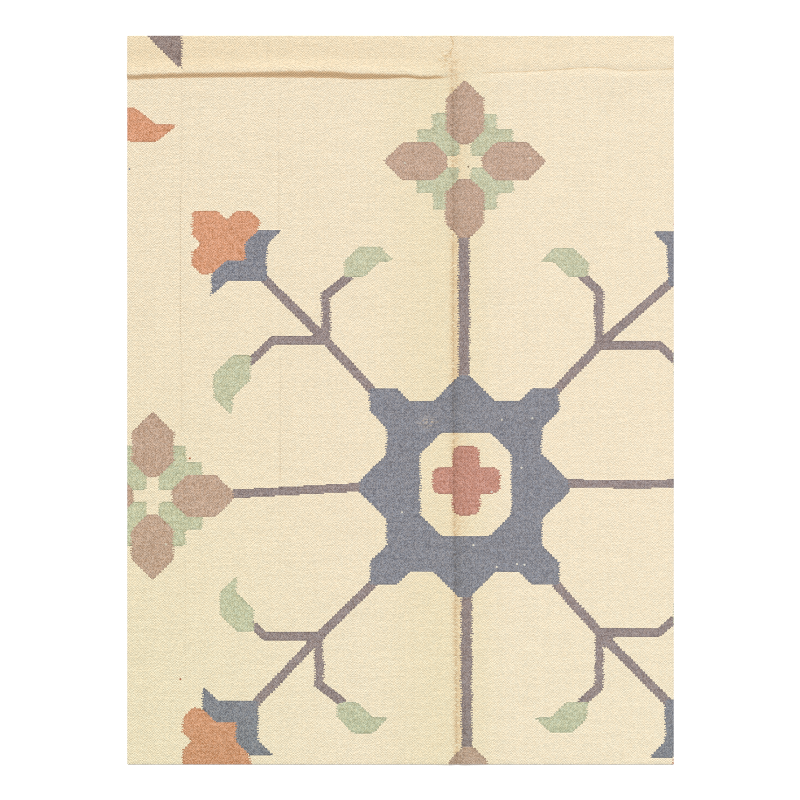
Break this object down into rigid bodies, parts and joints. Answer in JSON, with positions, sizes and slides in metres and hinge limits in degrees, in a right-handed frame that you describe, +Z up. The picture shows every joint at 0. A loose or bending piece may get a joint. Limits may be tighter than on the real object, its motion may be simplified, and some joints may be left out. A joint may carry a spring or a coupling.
{
  "type": "flat-woven rug",
  "caption": "Cut length of flat-woven cotton rug with a flower medallion, lying face up with a raised fold near its far end.",
  "frame": {"origin": "on the floor, under the middle of the rug's outline", "axes": "+X to the right across the rug, +Y along it to the far end with the fold, +Z up out of its face"},
  "size_m": [0.75, 1, 0.0096],
  "materials": {
    "cotton_weave": "matt flat weave, cream ground with blue, mauve, green, orange and rose motifs"
  },
  "bodies": {
    "root": {"woven_cloth": "cotton_weave"}
  },
  "joints": []
}
